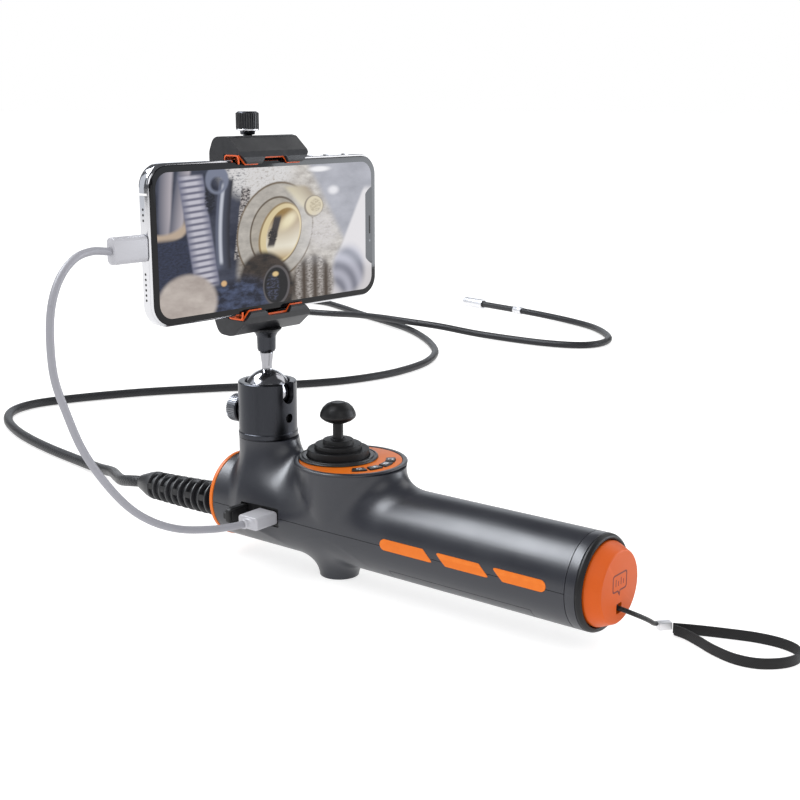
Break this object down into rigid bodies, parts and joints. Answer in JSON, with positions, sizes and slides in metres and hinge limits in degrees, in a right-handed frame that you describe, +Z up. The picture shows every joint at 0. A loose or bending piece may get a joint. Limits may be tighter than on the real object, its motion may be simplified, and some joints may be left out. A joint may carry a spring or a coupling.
{
  "type": "inspection camera",
  "caption": "Hand-held articulating inspection camera: joystick handle, phone on a ball-head clamp with its lead, and a long snake cable with a bending camera tip.",
  "frame": {"origin": "middle of the tripod foot's bottom face, under the joystick", "axes": "+X along the handle from the cable end to the end cap, +Z up along the joystick, +Y away from the side with the lead's socket"},
  "size_m": [0.8538, 0.8864, 0.2278],
  "materials": {
    "graphite": "satin moulded graphite with a fine texture",
    "orange": "satin moulded orange",
    "black_plastic": "satin black",
    "black_rubber": "matt moulded rubber",
    "orange_rubber": "matt silicone rubber",
    "black_metal": "satin black anodised",
    "chrome": "polished",
    "steel": "brushed",
    "phone_band": "polished band",
    "phone_glass": "gloss black cover glass with a lit picture",
    "lens_glass": "gloss sapphire window",
    "white_plastic": "satin white",
    "lead_jacket": "matt light grey jacket",
    "snake_jacket": "fine woven sleeve, charcoal",
    "board": "green solder mask",
    "cell": "shrink sleeve",
    "webbing": "flat woven strap"
  },
  "bodies": {
    "handle": {"upper_housing": "graphite", "lower_housing": "graphite", "battery_door": "graphite", "door_screw": "steel", "front_ring": "orange", "front_bulkhead": "black_plastic", "strain_relief": "black_rubber", "end_ring": "black_rubber", "grip_inlay_right_1": "orange", "grip_inlay_right_2": "orange", "grip_inlay_right_3": "orange", "grip_inlay_left_1": "orange", "grip_inlay_left_2": "orange", "grip_inlay_left_3": "orange", "control_plate": "orange", "joystick_bezel": "black_plastic", "joystick_boot": "black_rubber", "gimbal_base": "black_plastic", "control_board": "board", "battery_cell": "cell", "usb_port": "steel", "ball_socket": "black_metal", "handle_plug": "white_plastic", "usb_cable": "lead_jacket", "snake_cable": "snake_jacket", "tip_ferrule": "steel"},
    "gimbal": {"gimbal_ring": "steel"},
    "stick": {"joystick_shaft": "black_metal", "joystick_knob": "black_rubber"},
    "ball_seat": {"ball_seat": "black_plastic"},
    "ball_stud": {"ball_stud": "chrome"},
    "clamp": {"stud_sleeve": "black_metal", "clamp_frame": "black_plastic", "lower_jaw_pad": "orange_rubber", "guide_rod_left": "steel", "guide_rod_right": "steel", "phone_body": "phone_band", "phone_glass": "phone_glass", "phone_plug": "white_plastic"},
    "upper_jaw": {"upper_jaw": "black_plastic", "upper_jaw_pad": "orange_rubber"},
    "clamp_screw": {"clamp_knob": "black_metal"},
    "lock_knob": {"lock_knob": "black_metal"},
    "end_cap": {"end_cap": "orange", "strap_cord": "webbing", "strap_crimp": "steel", "strap_loop": "webbing"},
    "port_flap": {"port_flap": "black_rubber"},
    "button_1": {"button_1": "black_plastic"},
    "button_2": {"button_2": "black_plastic"},
    "button_3": {"button_3": "black_plastic"},
    "button_4": {"button_4": "black_plastic"},
    "tip_1": {"tip_link_1": "black_rubber"},
    "tip_2": {"tip_link_2": "black_rubber"},
    "tip_3": {"tip_link_3": "black_rubber"},
    "tip_4": {"tip_link_4": "black_rubber"},
    "tip_5": {"tip_link_5": "black_rubber"},
    "tip_6": {"tip_link_6": "black_rubber", "camera_head": "steel", "lens_window": "lens_glass"}
  },
  "joints": [
    {"name": "stick_fore_aft", "type": "hinge", "parent": "handle", "child": "gimbal", "pos_m": [0, 0, 0.056], "axis": [0, 1, 0], "range_deg": [-15, 15], "stiffness_Nm_per_rad": 0.02, "deforming": ["joystick_boot"]},
    {"name": "stick_side", "type": "hinge", "parent": "gimbal", "child": "stick", "pos_m": [0, 0, 0.056], "axis": [1, 0, 0], "range_deg": [-15, 15], "stiffness_Nm_per_rad": 0.02, "deforming": ["joystick_boot"]},
    {"name": "button_1_press", "type": "slide", "parent": "handle", "child": "button_1", "axis": [0, 0, -1], "range_m": [0, 0.0006], "stiffness_N_per_m": 400},
    {"name": "button_2_press", "type": "slide", "parent": "handle", "child": "button_2", "axis": [0, 0, -1], "range_m": [0, 0.0006], "stiffness_N_per_m": 400},
    {"name": "button_3_press", "type": "slide", "parent": "handle", "child": "button_3", "axis": [0, 0, -1], "range_m": [0, 0.0006], "stiffness_N_per_m": 400},
    {"name": "button_4_press", "type": "slide", "parent": "handle", "child": "button_4", "axis": [0, 0, -1], "range_m": [0, 0.0006], "stiffness_N_per_m": 400},
    {"name": "ball_pan", "type": "hinge", "parent": "handle", "child": "ball_seat", "pos_m": [-0.0475, 0, 0.0875], "axis": [0, 0, 1], "range_deg": [-40, 40], "deforming": ["usb_cable"]},
    {"name": "ball_tilt", "type": "hinge", "parent": "ball_seat", "child": "ball_stud", "pos_m": [-0.0475, 0, 0.0875], "axis": [0.0593, 0.9982, 0], "range_deg": [-30, 30], "deforming": ["usb_cable"]},
    {"name": "clamp_swivel", "type": "hinge", "parent": "ball_stud", "child": "clamp", "pos_m": [-0.0475, 0, 0.1125], "axis": [0, 0, 1], "range_deg": [-30, 30], "deforming": ["usb_cable"]},
    {"name": "upper_jaw_slide", "type": "slide", "parent": "clamp", "child": "upper_jaw", "axis": [0, 0, 1], "range_m": [0, 0.01]},
    {"name": "clamp_screw_turn", "type": "hinge", "parent": "upper_jaw", "child": "clamp_screw", "pos_m": [-0.05768, 0.0006, 0.22], "axis": [0, 0, 1], "range_deg": [0, 1800]},
    {"name": "lock_knob_turn", "type": "hinge", "parent": "handle", "child": "lock_knob", "pos_m": [-0.066, 0, 0.076], "axis": [-1, 0, 0], "range_deg": [-90, 0]},
    {"name": "end_cap_pull", "type": "slide", "parent": "handle", "child": "end_cap", "axis": [1, 0, 0], "range_m": [0, 0.009]},
    {"name": "port_flap_swing", "type": "hinge", "parent": "handle", "child": "port_flap", "pos_m": [-0.0437, -0.0216, 0.03], "axis": [0, 0, 1], "range_deg": [-12, 20]},
    {"name": "tip_bend_1", "type": "hinge", "parent": "handle", "child": "tip_1", "pos_m": [-0.37472, 0.7297, 0.0055], "axis": [0, 0, 1], "range_deg": [-30, 30]},
    {"name": "tip_bend_2", "type": "hinge", "parent": "tip_1", "child": "tip_2", "pos_m": [-0.38254, 0.73137, 0.0055], "axis": [-0.208, -0.9781, 0], "range_deg": [-30, 30]},
    {"name": "tip_bend_3", "type": "hinge", "parent": "tip_2", "child": "tip_3", "pos_m": [-0.39037, 0.73303, 0.0055], "axis": [0, 0, 1], "range_deg": [-30, 30]},
    {"name": "tip_bend_4", "type": "hinge", "parent": "tip_3", "child": "tip_4", "pos_m": [-0.39819, 0.7347, 0.0055], "axis": [-0.208, -0.9781, 0], "range_deg": [-30, 30]},
    {"name": "tip_bend_5", "type": "hinge", "parent": "tip_4", "child": "tip_5", "pos_m": [-0.40602, 0.73636, 0.0055], "axis": [0, 0, 1], "range_deg": [-30, 30]},
    {"name": "tip_bend_6", "type": "hinge", "parent": "tip_5", "child": "tip_6", "pos_m": [-0.41384, 0.73803, 0.0055], "axis": [-0.208, -0.9781, 0], "range_deg": [-30, 30]}
  ],
  "couplings": [
    {"joint": "clamp_screw_turn", "follows": "upper_jaw_slide", "rad_per_m": 3141.6},
    {"joint": "tip_bend_3", "follows": "tip_bend_1", "ratio": 1},
    {"joint": "tip_bend_5", "follows": "tip_bend_1", "ratio": 1},
    {"joint": "stick_side", "follows": "tip_bend_1", "ratio": 0.5},
    {"joint": "tip_bend_4", "follows": "tip_bend_2", "ratio": 1},
    {"joint": "tip_bend_6", "follows": "tip_bend_2", "ratio": 1},
    {"joint": "stick_fore_aft", "follows": "tip_bend_2", "ratio": 0.5}
  ]
}
